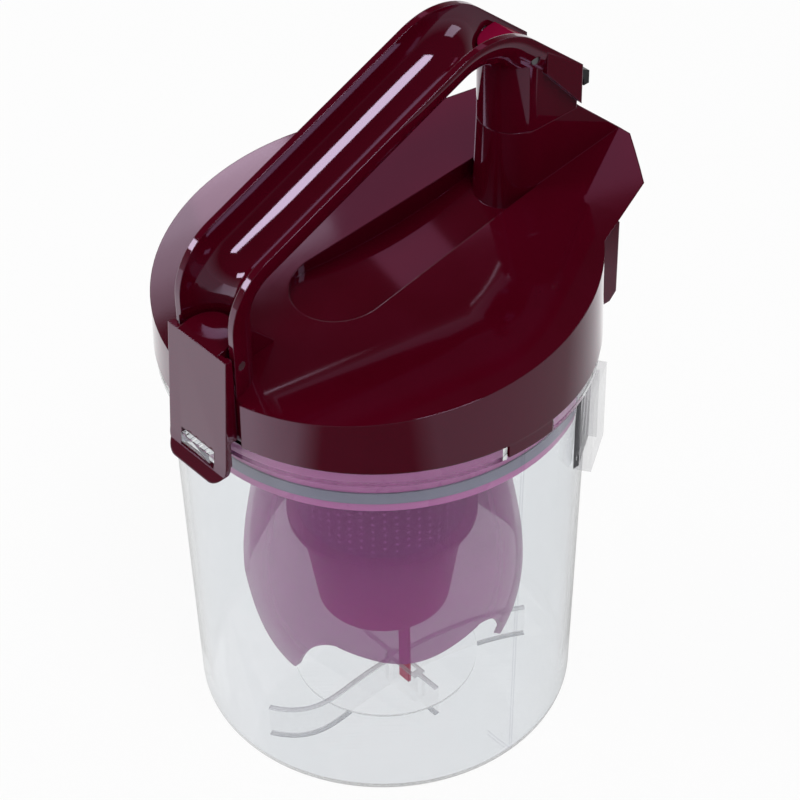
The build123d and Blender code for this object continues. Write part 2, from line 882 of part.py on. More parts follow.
# Separator mount: flange in the skirt, spigot in the bin, plate that carries the separator
with BuildPart() as mount:
    with BuildSketch(Plane.XZ):
        Polygon(
            (outlet_radius + seat_gap, mount_bottom),
            (mount_radius, mount_bottom),
            (mount_radius, seal_bottom),
            (mount_radius - seal_depth, seal_bottom),
            (mount_radius - seal_depth, seal_bottom + seal_height),
            (mount_radius, seal_bottom + seal_height),
            (mount_radius, skirt_bottom + seat_gap),
            (flange_radius, skirt_bottom + seat_gap),
            (flange_radius, mount_top),
            (mount_inner_radius, mount_top),
            (mount_inner_radius, plate_top),
            (outlet_radius + seat_gap, plate_top),
            align=None,
        )
    revolve(axis=Axis.Z)
    with BuildSketch(Plane.XY.offset(mount_bottom)):
        with GridLocations(2 * tower_reach, 2 * tower_spread, 2, 2):
            Circle(screw_radius + screw_clearance)
        with Locations((0, inlet_reach)):
            SlotOverall(inlet_width, inlet_depth)
    extrude(amount=mount_plate, mode=Mode.SUBTRACT)
    # the flange stops at the wall of the latch's recess
    with BuildSketch(Plane.XY.offset(skirt_bottom)):
        with Locations((0, lid_wall + seat_gap - recess_reach)):
            Rectangle(
                2 * (recess_half_width + lid_wall + seat_gap),
                skirt_radius,
                align=(Align.CENTER, Align.MAX),
            )
    extrude(amount=2 * mount_flange, mode=Mode.SUBTRACT)
mount.part.label = "separator_mount"
export_step(mount.part, "parts/separator_mount.step")

with BuildPart() as seal_ring:
    with BuildSketch(Plane.XZ):
        with Locations((mount_radius - seal_depth, seal_bottom)):
            Rectangle(
                bin_inside(seal_bottom) - seat_gap - mount_radius + seal_depth,
                seal_height,
                align=(Align.MIN, Align.MIN),
            )
    revolve(axis=Axis.Z)
seal_ring.part.label = "seal_ring"
export_step(seal_ring.part, "parts/seal_ring.step")

with BuildPart() as outlet_tube:
    tube_bottom = screen_bottom + tube_entry
    tube_top = plate_top + tube_rise
    with BuildSketch(Plane.XZ):
        Polygon(
            (outlet_radius - tube_wall, tube_bottom),
            (outlet_radius, tube_bottom),
            (outlet_radius, plate_top),
            (outlet_radius + tube_flange, plate_top),
            (outlet_radius + tube_flange, plate_top + tube_wall),
            (outlet_radius, plate_top + tube_wall),
            (outlet_radius, tube_top),
            (outlet_radius - tube_wall, tube_top),
            align=None,
        )
    revolve(axis=Axis.Z)
outlet_tube.part.label = "outlet_tube"
export_step(outlet_tube.part, "parts/outlet_tube.step")

with BuildPart() as screen:
    with BuildSketch(Plane.XY.offset(screen_bottom)):
        Circle(screen_radius)
        Circle(screen_radius - screen_wall, mode=Mode.SUBTRACT)
    extrude(amount=mount_bottom - screen_bottom)
screen.part.label = "mesh_screen"
export_step(screen.part, "parts/mesh_screen.step")

with BuildPart() as screen_base:
    with BuildSketch(Plane.XY.offset(cone_top)):
        Circle(cone_flange_radius)
        Circle(cone_tip_radius, mode=Mode.SUBTRACT)
    extrude(amount=screen_base_height)
screen_base.part.label = "screen_base"
export_step(screen_base.part, "parts/screen_base.step")

with BuildPart() as inner_cone:
    with BuildSketch(Plane.XZ):
        Polygon(
            (0, cone_bottom),
            (cone_tip_radius, cone_bottom),
            (screen_radius, cone_top),
            (screen_radius - cone_wall, cone_top),
            (cone_tip_radius - cone_wall, cone_bottom + cone_wall),
            (0, cone_bottom + cone_wall),
            align=None,
        )
    revolve(axis=Axis.Z)
    # blade under the cone that reaches into the vanes' sleeve
    with Locations((sleeve_side, cross_place, cone_bottom)):
        Box(
            fin_depth,
            fin_wall,
            cone_bottom - bin_floor - fin_clearance,
            align=(Align.CENTER, Align.CENTER, Align.MAX),
        )
inner_cone.part.label = "inner_cone"
export_step(inner_cone.part, "parts/inner_cone.step")

# Separator bell: a shell of revolution whose hem is cut into lobes
with BuildPart() as bell:
    with BuildSketch(Plane.XZ):
        with BuildLine():
            outside = Spline(bell_profile(0))
            inside = Spline(bell_profile(bell_wall))
            Line(outside @ 1, inside @ 1)
            Polyline(
                outside @ 0,
                (screen_radius + seat_gap, mount_bottom),
                (screen_radius + seat_gap, mount_bottom - bell_wall),
                inside @ 0,
            )
        make_face()
    revolve(axis=Axis.Z)
    for number in range(lobe_count):
        bottom = short_lobe_bottom if number % 2 else long_lobe_bottom
        fullness = short_lobe_fullness if number % 2 else long_lobe_fullness
        middle = (bottom + lobe_notch) / 2
        with BuildSketch(Plane.XZ.rotated((0, 0, number * 360 / lobe_count)).offset(screen_radius)):
            with BuildLine():
                hem = Spline(
                    (-lobe_half_width, lobe_notch),
                    (-lobe_half_width * fullness, middle),
                    (0, bottom),
                    (lobe_half_width * fullness, middle),
                    (lobe_half_width, lobe_notch),
                )
                Polyline(hem @ 1, (lobe_half_width, 0), (-lobe_half_width, 0), hem @ 0)
            make_face()
        extrude(amount=screen_radius, mode=Mode.SUBTRACT)
bell.part.label = "separator_bell"
export_step(bell.part, "parts/separator_bell.step")

# Air ports: rubber frame outside, guard inside
with BuildPart() as gasket:
    with BuildSketch(Plane.XZ.offset(-nose_tip)):
        with Locations((0, port_middle)):
            Rectangle(2 * (port_half_width + gasket_width), port_height + 2 * gasket_width)
            Rectangle(2 * port_half_width, port_height, mode=Mode.SUBTRACT)
    extrude(amount=-gasket_height)
gasket.part.label = "port_gasket"
export_step(gasket.part, "parts/port_gasket.step")

with BuildPart() as grille:
    with BuildSketch(Plane.XZ.offset(lid_wall - nose_tip)):
        with Locations((0, port_middle)):
            Rectangle(2 * (port_half_width + grille_lap), port_height - 4 * seat_gap)
            with GridLocations(grille_pitch, 0, grille_slots, 1):
                Rectangle(grille_pitch - grille_bar, port_height - 2 * grille_bar, mode=Mode.SUBTRACT)
    extrude(amount=grille_depth)
grille.part.label = "port_grille"
export_step(grille.part, "parts/port_grille.step")

with BuildPart() as handle_screws:
    for y in (front_screw_place, *rear_screw_places):
        add(screw(0, y, foot_height(y) - boss_depth))
handle_screws.part.label = "handle_screws"
export_step(handle_screws.part, "parts/handle_screws.step")

with BuildPart() as mount_screws:
    for x in (-tower_reach, tower_reach):
        for y in (-tower_spread, tower_spread):
            add(screw(x, y, mount_bottom))
mount_screws.part.label = "mount_screws"
export_step(mount_screws.part, "parts/mount_screws.step")
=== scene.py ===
"""Looks for the cyclone dust bin: finishes, screen holes, studio floor, light and camera."""
import json
import math

import bmesh
import bpy
from mathutils import Matrix, Vector


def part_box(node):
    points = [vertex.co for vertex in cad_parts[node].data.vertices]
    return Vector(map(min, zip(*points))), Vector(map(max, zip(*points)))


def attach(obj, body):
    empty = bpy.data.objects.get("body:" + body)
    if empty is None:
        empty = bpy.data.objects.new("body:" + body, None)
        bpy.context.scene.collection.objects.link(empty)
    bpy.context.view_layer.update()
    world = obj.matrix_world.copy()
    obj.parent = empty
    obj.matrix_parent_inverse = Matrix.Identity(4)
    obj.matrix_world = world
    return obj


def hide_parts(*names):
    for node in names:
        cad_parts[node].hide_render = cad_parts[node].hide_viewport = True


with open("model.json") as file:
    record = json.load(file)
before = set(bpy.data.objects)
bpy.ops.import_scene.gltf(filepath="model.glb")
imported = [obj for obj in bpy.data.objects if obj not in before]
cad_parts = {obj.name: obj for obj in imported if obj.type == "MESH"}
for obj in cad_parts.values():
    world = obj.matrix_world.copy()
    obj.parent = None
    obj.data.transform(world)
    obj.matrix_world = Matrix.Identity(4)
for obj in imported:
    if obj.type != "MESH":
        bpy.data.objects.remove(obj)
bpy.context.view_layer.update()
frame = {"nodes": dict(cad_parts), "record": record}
nodes = frame["nodes"]
MM = 0.001
GRAIN_DEPTH = 0.4 * MM
MERGE_GAP = 0.002 * MM
FLAT_ANGLE = math.radians(0.3)
CREASE_ANGLE = math.radians(28)

scene = bpy.context.scene
scene.view_settings.view_transform = "Standard"


# Node helpers

def add_node(tree, kind, place, **values):
    """A node with its place in the editor and its plain properties set."""
    node = tree.nodes.new(kind)
    node.location = place
    for name, value in values.items():
        setattr(node, name, value)
    return node


def set_inputs(node, **values):
    """Sets a node's unlinked inputs by name, with underscores for spaces."""
    for name, value in values.items():
        node.inputs[name.replace("_", " ")].default_value = value


def node_of(material, kind):
    """The first node of a kind in a material."""
    return next(node for node in material.node_tree.nodes if node.type == kind)


# Shared surface effects

def moulded_surface():
    """Faint unevenness of a polished moulding: a colour mask, a roughness and a bump height."""
    group = bpy.data.node_groups.new("moulded surface", "ShaderNodeTree")
    face = group.interface
    face.new_socket("Vector", in_out="INPUT", socket_type="NodeSocketVector")
    for name, value in (("Grain Size", 90.0), ("Smear Size", 9.0), ("Roughness", 0.1), ("Smear", 0.05)):
        face.new_socket(name, in_out="INPUT", socket_type="NodeSocketFloat").default_value = value
    for name in ("Mask", "Roughness", "Height"):
        face.new_socket(name, in_out="OUTPUT", socket_type="NodeSocketFloat")
    inlet = add_node(group, "NodeGroupInput", (-700, 0))
    outlet = add_node(group, "NodeGroupOutput", (500, 0))
    grain = add_node(group, "ShaderNodeTexNoise", (-450, 150))
    set_inputs(grain, Detail=3.0, Roughness=0.6)
    smear = add_node(group, "ShaderNodeTexNoise", (-450, -150))
    set_inputs(smear, Detail=4.0, Roughness=0.55, Distortion=0.6)
    sharpen = add_node(group, "ShaderNodeMapRange", (-200, -150))
    set_inputs(sharpen, From_Min=0.35, From_Max=0.7)
    scaled = add_node(group, "ShaderNodeMath", (50, -150), operation="MULTIPLY_ADD")
    join = group.links.new
    join(inlet.outputs["Vector"], grain.inputs["Vector"])
    join(inlet.outputs["Vector"], smear.inputs["Vector"])
    join(inlet.outputs["Grain Size"], grain.inputs["Scale"])
    join(inlet.outputs["Smear Size"], smear.inputs["Scale"])
    join(smear.outputs["Fac"], sharpen.inputs["Value"])
    join(sharpen.outputs["Result"], scaled.inputs[0])
    join(inlet.outputs["Smear"], scaled.inputs[1])
    join(inlet.outputs["Roughness"], scaled.inputs[2])
    join(sharpen.outputs["Result"], outlet.inputs["Mask"])
    join(scaled.outputs["Value"], outlet.inputs["Roughness"])
    join(grain.outputs["Fac"], outlet.inputs["Height"])
    return group


SURFACE = moulded_surface()


def finish_material(name, dark, light, roughness=0.1, smear=0.05, grain=900.0, patch=40.0,
                    bump=0.02, edge=0.5, shadow=0.0, **shader):
    """A Principled finish with the moulded surface, two close shades and softened edges.

    Where shadow is given, light from the lamps passes through with that share.
    """
    material = bpy.data.materials.new(name)
    material.use_nodes = True
    tree = material.node_tree
    tree.nodes.clear()
    out = add_node(tree, "ShaderNodeOutputMaterial", (700, 0))
    body = add_node(tree, "ShaderNodeBsdfPrincipled", (400, 0))
    place = add_node(tree, "ShaderNodeTexCoord", (-600, 0))
    surface = add_node(tree, "ShaderNodeGroup", (-350, 0), node_tree=SURFACE)
    set_inputs(surface, Grain_Size=grain, Smear_Size=patch, Roughness=roughness, Smear=smear)
    shade = add_node(tree, "ShaderNodeMix", (-50, 200), data_type="RGBA")
    shade.inputs["A"].default_value = (*dark, 1)
    shade.inputs["B"].default_value = (*light, 1)
    height = add_node(tree, "ShaderNodeBump", (150, -200))
    set_inputs(height, Strength=bump, Distance=GRAIN_DEPTH)
    join = tree.links.new
    join(place.outputs["Object"], surface.inputs["Vector"])
    join(surface.outputs["Mask"], shade.inputs["Factor"])
    join(shade.outputs["Result"], body.inputs["Base Color"])
    join(surface.outputs["Roughness"], body.inputs["Roughness"])
    join(surface.outputs["Height"], height.inputs["Height"])
    if edge:
        soft = add_node(tree, "ShaderNodeBevel", (-50, -350), samples=6)
        set_inputs(soft, Radius=edge * MM)
        join(soft.outputs["Normal"], height.inputs["Normal"])
    join(height.outputs["Normal"], body.inputs["Normal"])
    if shadow:
        path = add_node(tree, "ShaderNodeLightPath", (400, 400))
        through = add_node(tree, "ShaderNodeBsdfTransparent", (400, -450))
        set_inputs(through, Color=(shadow, shadow, shadow, 1))
        pick = add_node(tree, "ShaderNodeMixShader", (600, 150))
        out.location = (850, 0)
        join(path.outputs["Is Shadow Ray"], pick.inputs["Fac"])
        join(body.outputs["BSDF"], pick.inputs[1])
        join(through.outputs["BSDF"], pick.inputs[2])
        join(pick.outputs["Shader"], out.inputs["Surface"])
    else:
        join(body.outputs["BSDF"], out.inputs["Surface"])
    set_inputs(body, **shader)
    return material


# Painted light: the lavender specular tint colours the burgundy's reflections as lavender light would.
burgundy = finish_material("burgundy gloss", (0.066, 0.0004, 0.0062), (0.072, 0.0006, 0.008),
                           roughness=0.05, smear=0.02, bump=0.004, edge=0.5, IOR=1.8,
                           Specular_Tint=(0.88, 0.72, 1.0, 1))
crimson = finish_material("crimson satin", (0.19, 0.002, 0.026), (0.22, 0.004, 0.034),
                          roughness=0.3, smear=0.05, edge=0.6, IOR=1.03)
clear = finish_material("clear plastic", (0.86, 0.875, 0.89), (0.87, 0.885, 0.9), shadow=0.9,
                        roughness=0.0, smear=0.015, bump=0.0, edge=0, IOR=1.36, Transmission_Weight=1.0)
vane_clear = finish_material("clear vane", (0.42, 0.43, 0.47), (0.46, 0.47, 0.51),
                             roughness=0.12, smear=0.02, bump=0.0, edge=0)
guide_clear = finish_material("clear guide", (0.62, 0.63, 0.66), (0.66, 0.67, 0.7),
                              roughness=0.08, smear=0.02, bump=0.0, edge=0.4, Alpha=0.22)
purple = finish_material("purple moulding", (0.25, 0.024, 0.2), (0.28, 0.03, 0.225), shadow=0.75,
                         roughness=0.28, smear=0.1, bump=0.004, edge=0.5, IOR=1.48, Alpha=0.57)
mount_purple = finish_material("lavender ring", (0.56, 0.17, 0.43), (0.6, 0.19, 0.46),
                               roughness=0.25, smear=0.1, edge=0.4, IOR=1.48)
cone_purple = finish_material("deep purple cone", (0.44, 0.012, 0.085), (0.48, 0.018, 0.1),
                              roughness=0.35, smear=0.1, edge=0.5, IOR=1.48)
screen_purple = finish_material("screen plastic", (0.15, 0.02, 0.085), (0.17, 0.024, 0.095),
                                roughness=0.45, smear=0.1, edge=0.3)
# Painted light: the pale pink of the hole discs stands for the light that shows through the screen's holes.
hole_painted_light = finish_material("screen hole", (0.93, 0.7, 0.93), (0.95, 0.74, 0.95),
                             roughness=0.7, smear=0.1, edge=0)
rubber = finish_material("grey rubber", (0.27, 0.265, 0.35), (0.31, 0.305, 0.39),
                         roughness=0.55, smear=0.15, bump=0.2, edge=0.4)
dark = finish_material("dark satin plastic", (0.012, 0.012, 0.014), (0.02, 0.02, 0.023),
                       roughness=0.35, smear=0.1, bump=0.1, edge=0.4)
steel = finish_material("plain steel", (0.5, 0.5, 0.52), (0.6, 0.6, 0.62),
                        roughness=0.25, smear=0.1, edge=0.1, Metallic=1.0)


def paint_edge_shade(material, low, high, width, face, edge):
    """Painted shade: lets a thin clear wall show its grey at its foot and its top edge, where clear edges
    bend the light, and hardly at all between them.
    """
    tree = material.node_tree
    body = node_of(material, "BSDF_PRINCIPLED")
    place = node_of(material, "TEX_COORD")
    split = add_node(tree, "ShaderNodeSeparateXYZ", (-350, -500))
    top = add_node(tree, "ShaderNodeMapRange", (-150, -500))
    set_inputs(top, From_Min=high - width, From_Max=high - 0.5 * width, To_Min=face, To_Max=edge)
    foot = add_node(tree, "ShaderNodeMapRange", (-150, -750))
    set_inputs(foot, From_Min=low + 0.5 * width, From_Max=low + width, To_Min=edge, To_Max=face)
    both = add_node(tree, "ShaderNodeMath", (100, -600), operation="MAXIMUM")
    join = tree.links.new
    join(place.outputs["Object"], split.inputs["Vector"])
    join(split.outputs["Z"], top.inputs["Value"])
    join(split.outputs["Z"], foot.inputs["Value"])
    join(top.outputs["Result"], both.inputs[0])
    join(foot.outputs["Result"], both.inputs[1])
    join(both.outputs["Value"], body.inputs["Alpha"])


def add_seam(material, half_width, nearest, tone):
    """Draws the mould's parting line up the wall on both sides, where it crosses the X axis."""
    tree = material.node_tree
    body = node_of(material, "BSDF_PRINCIPLED")
    place = node_of(material, "TEX_COORD")
    plain = body.inputs["Base Color"].links[0].from_socket
    split = add_node(tree, "ShaderNodeSeparateXYZ", (-350, 450))
    aside = add_node(tree, "ShaderNodeMath", (-200, 450), operation="ABSOLUTE")
    line = add_node(tree, "ShaderNodeMapRange", (-50, 450))
    set_inputs(line, From_Min=half_width, From_Max=1.6 * half_width, To_Min=1.0, To_Max=0.0)
    along = add_node(tree, "ShaderNodeMath", (-200, 650), operation="ABSOLUTE")
    outside = add_node(tree, "ShaderNodeMath", (-50, 650), operation="GREATER_THAN")
    outside.inputs[1].default_value = nearest
    both = add_node(tree, "ShaderNodeMath", (100, 550), operation="MULTIPLY")
    drawn = add_node(tree, "ShaderNodeMix", (250, 350), data_type="RGBA")
    drawn.inputs["B"].default_value = (*tone, 1)
    join = tree.links.new
    join(place.outputs["Object"], split.inputs["Vector"])
    join(split.outputs["Y"], aside.inputs[0])
    join(aside.outputs["Value"], line.inputs["Value"])
    join(split.outputs["X"], along.inputs[0])
    join(along.outputs["Value"], outside.inputs[0])
    join(line.outputs["Result"], both.inputs[0])
    join(outside.outputs["Value"], both.inputs[1])
    join(both.outputs["Value"], drawn.inputs["Factor"])
    join(plain, drawn.inputs["A"])
    join(drawn.outputs["Result"], body.inputs["Base Color"])


add_seam(clear, half_width=0.25 * MM, nearest=55 * MM, tone=(0.7, 0.71, 0.75))
vane_low, vane_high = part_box("base_vanes")
# Painted shade: the vanes' grey shows only in bands at the foot and the top edge, where a clear wall's
# edges bend the light.
paint_edge_shade(vane_clear, vane_low.z, vane_high.z, width=0.8 * MM, face=0.04, edge=0.5)

finishes = {
    clear: ("bin",),
    vane_clear: ("base_vanes",),
    burgundy: ("lid", "handle", "latch"),
    crimson: ("release_button",),
    rubber: ("seal_ring", "port_gasket"),
    purple: ("separator_bell",),
    mount_purple: ("separator_mount",),
    cone_purple: ("inner_cone", "screen_base", "outlet_tube"),
    screen_purple: ("mesh_screen",),
    dark: ("catch_hook", "port_grille"),
    steel: ("latch_pin", "latch_spring", "button_pin", "button_spring", "handle_screws", "mount_screws"),
}
for material, names in finishes.items():
    for name in names:
        nodes[name].data.materials.clear()
        nodes[name].data.materials.append(material)


# Skins: merged copies of the moulded solids, with clean shading

bodies = frame["record"]["behaviour"]["bodies"]
body_of = {node: body for body, members in bodies.items() for node in members}


def turned_normals(mesh):
    """Shades the round walls straight out from the axis, so that they bend the view evenly."""
    flattest_wall = 0.3
    nearly_outward = 0.994
    ways = []
    for corner, loop in zip(mesh.corner_normals, mesh.loops):
        way = corner.vector.copy()
        across = Vector((way.x, way.y))
        outward = mesh.vertices[loop.vertex_index].co.xy.normalized()
        along = across.dot(outward)
        if across.length > flattest_wall and abs(along) > nearly_outward * across.length:
            way.x, way.y = outward * math.copysign(across.length, along)
        ways.append(way)
    mesh.normals_split_custom_set(ways)


def moulded_skin(name, turned=False):
    """A merged copy of a solid that stands for it, with flat faces joined or round walls shaded true."""
    mesh = bpy.data.meshes.new(name + "_skin")
    form = bmesh.new()
    form.from_mesh(nodes[name].data)
    bmesh.ops.remove_doubles(form, verts=form.verts, dist=MERGE_GAP)
    if not turned:
        bmesh.ops.dissolve_limit(form, angle_limit=FLAT_ANGLE, verts=form.verts, edges=form.edges)
    form.to_mesh(mesh)
    form.free()
    if "custom_normal" in mesh.attributes:
        mesh.attributes.remove(mesh.attributes["custom_normal"])
    for material in nodes[name].data.materials:
        mesh.materials.append(material)
    skin = bpy.data.objects.new(name + "_skin", mesh)
    scene.collection.objects.link(skin)
    mesh.shade_smooth()
    mesh.set_sharp_from_angle(angle=CREASE_ANGLE)
    if turned:
        turned_normals(mesh)
    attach(skin, body_of[name])
    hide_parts(name)
    return skin


def paint_guides(mesh):
    """Gives the ribs and the tab that stand out from the wall below the rim a finish of their own."""
    mesh.materials.append(guide_clear)
    wall_radius = 72.2 * MM
    rib_root = 0.97 * wall_radius
    rim_bottom = 150.0 * MM
    sideways = 0.7
    for face in mesh.polygons:
        reach = face.center.xy.length
        outward = abs(face.normal.xy.dot(face.center.xy.normalized()))
        rib_side = reach > rib_root and outward < sideways and abs(face.normal.z) < sideways
        face.material_index = int(face.center.z < rim_bottom and (reach > wall_radius or rib_side))


paint_guides(moulded_skin("bin", turned=True).data)
for name in ("base_vanes", "lid", "handle", "latch", "release_button", "separator_bell",
             "separator_mount", "inner_cone", "seal_ring", "mesh_screen", "screen_base"):
    moulded_skin(name)


# Screen holes: small discs painted with the light that shows through the holes

def screen_holes_tree():
    """Rows of small round discs that stand for holes round a cylinder, every second row set half a pitch
    on.
    """
    tree = bpy.data.node_groups.new("screen holes", "GeometryNodeTree")
    face = tree.interface
    face.new_socket("Geometry", in_out="INPUT", socket_type="NodeSocketGeometry")
    for name, value in (("Radius", 0.03), ("Bottom", 0.08), ("Row Pitch", 0.0026), ("Hole Radius", 0.0007)):
        face.new_socket(name, in_out="INPUT", socket_type="NodeSocketFloat").default_value = value
    for name, value in (("Rows", 20), ("Columns", 60)):
        face.new_socket(name, in_out="INPUT", socket_type="NodeSocketInt").default_value = value
    face.new_socket("Material", in_out="INPUT", socket_type="NodeSocketMaterial")
    face.new_socket("Geometry", in_out="OUTPUT", socket_type="NodeSocketGeometry")
    inlet = add_node(tree, "NodeGroupInput", (-1200, 0))
    outlet = add_node(tree, "NodeGroupOutput", (1400, 0))
    total = add_node(tree, "ShaderNodeMath", (-950, 200), operation="MULTIPLY")
    points = add_node(tree, "GeometryNodePoints", (-700, 200))
    index = add_node(tree, "GeometryNodeInputIndex", (-1200, -250))
    row = add_node(tree, "ShaderNodeMath", (-950, -150), operation="DIVIDE")
    row_floor = add_node(tree, "ShaderNodeMath", (-750, -150), operation="FLOOR")
    half = add_node(tree, "ShaderNodeMath", (-550, -250), operation="MULTIPLY")
    half.inputs[1].default_value = 0.5
    step = add_node(tree, "ShaderNodeMath", (-350, -250), operation="ADD")
    turn = add_node(tree, "ShaderNodeMath", (-150, -250), operation="DIVIDE")
    angle = add_node(tree, "ShaderNodeMath", (50, -250), operation="MULTIPLY")
    angle.inputs[1].default_value = 2 * math.pi
    cosine = add_node(tree, "ShaderNodeMath", (250, -200), operation="COSINE")
    sine = add_node(tree, "ShaderNodeMath", (250, -350), operation="SINE")
    lift = add_node(tree, "ShaderNodeMath", (250, -50), operation="MULTIPLY_ADD")
    outward = add_node(tree, "ShaderNodeCombineXYZ", (450, -250))
    reach = add_node(tree, "ShaderNodeVectorMath", (620, -250), operation="SCALE")
    rise = add_node(tree, "ShaderNodeCombineXYZ", (450, -50))
    place = add_node(tree, "ShaderNodeVectorMath", (780, -150), operation="ADD")
    facing = add_node(tree, "FunctionNodeAlignRotationToVector", (780, -350), axis="Z")
    hole = add_node(tree, "GeometryNodeMeshCircle", (620, 300), fill_type="NGON")
    hole.inputs["Vertices"].default_value = 8
    spread = add_node(tree, "GeometryNodeInstanceOnPoints", (950, 150))
    real = add_node(tree, "GeometryNodeRealizeInstances", (1100, 150))
    paint = add_node(tree, "GeometryNodeSetMaterial", (1250, 150))
    join = tree.links.new
    join(inlet.outputs["Rows"], total.inputs[0])
    join(inlet.outputs["Columns"], total.inputs[1])
    join(total.outputs["Value"], points.inputs["Count"])
    join(index.outputs["Index"], row.inputs[0])
    join(inlet.outputs["Columns"], row.inputs[1])
    join(row.outputs["Value"], row_floor.inputs[0])
    join(row_floor.outputs["Value"], half.inputs[0])
    join(index.outputs["Index"], step.inputs[0])
    join(half.outputs["Value"], step.inputs[1])
    join(step.outputs["Value"], turn.inputs[0])
    join(inlet.outputs["Columns"], turn.inputs[1])
    join(turn.outputs["Value"], angle.inputs[0])
    join(angle.outputs["Value"], cosine.inputs[0])
    join(angle.outputs["Value"], sine.inputs[0])
    join(row_floor.outputs["Value"], lift.inputs[0])
    join(inlet.outputs["Row Pitch"], lift.inputs[1])
    join(inlet.outputs["Bottom"], lift.inputs[2])
    join(cosine.outputs["Value"], outward.inputs["X"])
    join(sine.outputs["Value"], outward.inputs["Y"])
    join(outward.outputs["Vector"], reach.inputs["Vector"])
    join(inlet.outputs["Radius"], reach.inputs["Scale"])
    join(lift.outputs["Value"], rise.inputs["Z"])
    join(reach.outputs["Vector"], place.inputs[0])
    join(rise.outputs["Vector"], place.inputs[1])
    join(place.outputs["Vector"], points.inputs["Position"])
    join(inlet.outputs["Hole Radius"], hole.inputs["Radius"])
    join(outward.outputs["Vector"], facing.inputs["Vector"])
    join(points.outputs["Points"], spread.inputs["Points"])
    join(hole.outputs["Mesh"], spread.inputs["Instance"])
    join(facing.outputs["Rotation"], spread.inputs["Rotation"])
    join(spread.outputs["Instances"], real.inputs["Geometry"])
    join(real.outputs["Geometry"], paint.inputs["Geometry"])
    join(inlet.outputs["Material"], paint.inputs["Material"])
    join(paint.outputs["Geometry"], outlet.inputs["Geometry"])
    return tree


def baked_from_nodes(name, tree, body, slot, **values):
    """A plain mesh made once from a node tree with its inputs set by name."""
    piece = bpy.data.objects.new(name, bpy.data.meshes.new(name))
    scene.collection.objects.link(piece)
    modifier = piece.modifiers.new(name, "NODES")
    modifier.node_group = tree
    for socket in tree.interface.items_tree:
        key = socket.name.replace(" ", "_")
        if socket.in_out == "INPUT" and key in values:
            modifier[socket.identifier] = values[key]
    graph = bpy.context.evaluated_depsgraph_get()
    mesh = bpy.data.meshes.new_from_object(piece.evaluated_get(graph))
    piece.modifiers.clear()
    piece.data = mesh
    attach(piece, body)
    return piece


screen_low, screen_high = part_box("mesh_screen")
hole_margin = 3.0 * MM
hole_pitch = 1.6 * MM
hole_radius = 0.68 * MM
hole_stand_off = 0.05 * MM
hole_columns = 23
baked_from_nodes(
    "screen_holes", screen_holes_tree(), "lid", "screen_plastic",
    Radius=screen_high.x + hole_stand_off, Bottom=screen_low.z + hole_margin, Row_Pitch=hole_pitch,
    Hole_Radius=hole_radius, Columns=hole_columns, Material=hole_painted_light,
    Rows=int((screen_high.z - screen_low.z - 2 * hole_margin) / hole_pitch),
)


# Studio

def ray_mask(tree, path, names, place):
    """One when the ray is any of the named kinds."""
    last = path.outputs[names[0]]
    for step, name in enumerate(names[1:]):
        both = add_node(tree, "ShaderNodeMath", (place[0] + 160 * step, place[1]), operation="MAXIMUM")
        tree.links.new(last, both.inputs[0])
        tree.links.new(path.outputs[name], both.inputs[1])
        last = both.outputs["Value"]
    return last


def painted_shade_patch(tree, spot, centre, turn, reach, place):
    """Painted shade for the floor's gloss: nought inside a soft-edged oval on the floor, one outside it."""
    oval = add_node(tree, "ShaderNodeMapping", place, vector_type="TEXTURE")
    oval.inputs["Location"].default_value = (*centre, 0)
    oval.inputs["Rotation"].default_value = (0, 0, math.radians(turn))
    oval.inputs["Scale"].default_value = (*reach, 1)
    span = add_node(tree, "ShaderNodeVectorMath", (place[0] + 200, place[1]), operation="LENGTH")
    soft = add_node(tree, "ShaderNodeMapRange", (place[0] + 380, place[1]))
    set_inputs(soft, From_Min=0.7, From_Max=1.1)
    tree.links.new(spot.outputs["Object"], oval.inputs["Vector"])
    tree.links.new(oval.outputs["Vector"], span.inputs[0])
    tree.links.new(span.outputs["Value"], soft.inputs["Value"])
    return soft.outputs["Result"]


